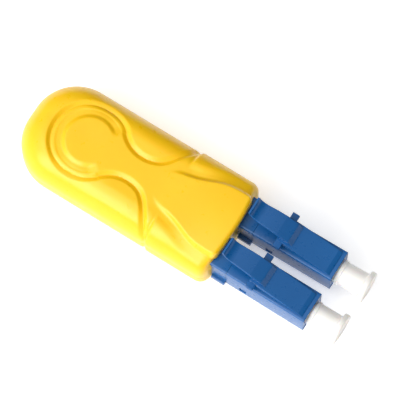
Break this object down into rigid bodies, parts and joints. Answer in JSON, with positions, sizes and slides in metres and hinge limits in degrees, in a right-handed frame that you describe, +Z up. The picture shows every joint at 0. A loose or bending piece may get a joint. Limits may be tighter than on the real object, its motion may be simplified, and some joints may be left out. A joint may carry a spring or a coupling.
{
  "type": "fibre loopback plug",
  "caption": "Moulded test plug with side-by-side latching fibre connectors joined by an inner fibre loop, with pull-off dust caps on the ferrules.",
  "frame": {"origin": "on the table under the middle of the overall length, on the plug's middle plane", "axes": "+X along the plug towards the dust caps, +Y across it from the left connector to the right one, +Z up through the shell's sculpted top"},
  "size_m": [0.0502, 0.0148, 0.0112],
  "materials": {
    "shell": "smooth glossy moulded yellow plastic",
    "housing": "satin moulded blue plastic",
    "cap": "soft translucent white plastic",
    "spool": "natural moulded plastic",
    "fibre": "smooth buffer coating",
    "ferrule": "polished zirconia",
    "steel": "plain machined metal"
  },
  "bodies": {
    "shell": {"shell_upper": "shell", "shell_lower": "shell", "fibre_loop": "fibre", "fibre_spool": "spool"},
    "plug_left": {"front_housing_left": "housing", "rear_body_left": "housing", "crimp_ring_left": "steel", "strain_tube_left": "spool", "spring_left": "steel"},
    "latch_left": {"latch_left": "housing"},
    "ferrule_left": {"ferrule_left": "ferrule", "ferrule_holder_left": "steel"},
    "cap_left": {"dust_cap_left": "cap"},
    "plug_right": {"front_housing_right": "housing", "rear_body_right": "housing", "crimp_ring_right": "steel", "strain_tube_right": "spool", "spring_right": "steel"},
    "latch_right": {"latch_right": "housing"},
    "ferrule_right": {"ferrule_right": "ferrule", "ferrule_holder_right": "steel"},
    "cap_right": {"dust_cap_right": "cap"}
  },
  "joints": [
    {"name": "float_left", "type": "hinge", "parent": "shell", "child": "plug_left", "pos_m": [-0.0008, -0.00313, 0.0045], "axis": [0, 0, 1], "range_deg": [-0.3, 0.5]},
    {"name": "latch_press_left", "type": "hinge", "parent": "plug_left", "child": "latch_left", "pos_m": [0.0179, -0.00329, 0.00709], "axis": [-0.0087, -1, 0], "range_deg": [0, 8], "stiffness_Nm_per_rad": 0.15},
    {"name": "ferrule_push_left", "type": "slide", "parent": "plug_left", "child": "ferrule_left", "axis": [1, -0.0087, 0], "range_m": [-0.0008, 0], "stiffness_N_per_m": 1000, "deforming": ["spring_left"]},
    {"name": "cap_pull_left", "type": "slide", "parent": "plug_left", "child": "cap_left", "axis": [1, -0.0087, 0], "range_m": [0, 0.012]},
    {"name": "float_right", "type": "hinge", "parent": "shell", "child": "plug_right", "pos_m": [-0.0008, 0.00313, 0.0045], "axis": [0, 0, -1], "range_deg": [-0.3, 0.5]},
    {"name": "latch_press_right", "type": "hinge", "parent": "plug_right", "child": "latch_right", "pos_m": [0.0179, 0.00329, 0.00709], "axis": [0.0087, -1, 0], "range_deg": [0, 8], "stiffness_Nm_per_rad": 0.15},
    {"name": "ferrule_push_right", "type": "slide", "parent": "plug_right", "child": "ferrule_right", "axis": [1, 0.0087, 0], "range_m": [-0.0008, 0], "stiffness_N_per_m": 1000, "deforming": ["spring_right"]},
    {"name": "cap_pull_right", "type": "slide", "parent": "plug_right", "child": "cap_right", "axis": [1, 0.0087, 0], "range_m": [0, 0.012]}
  ]
}
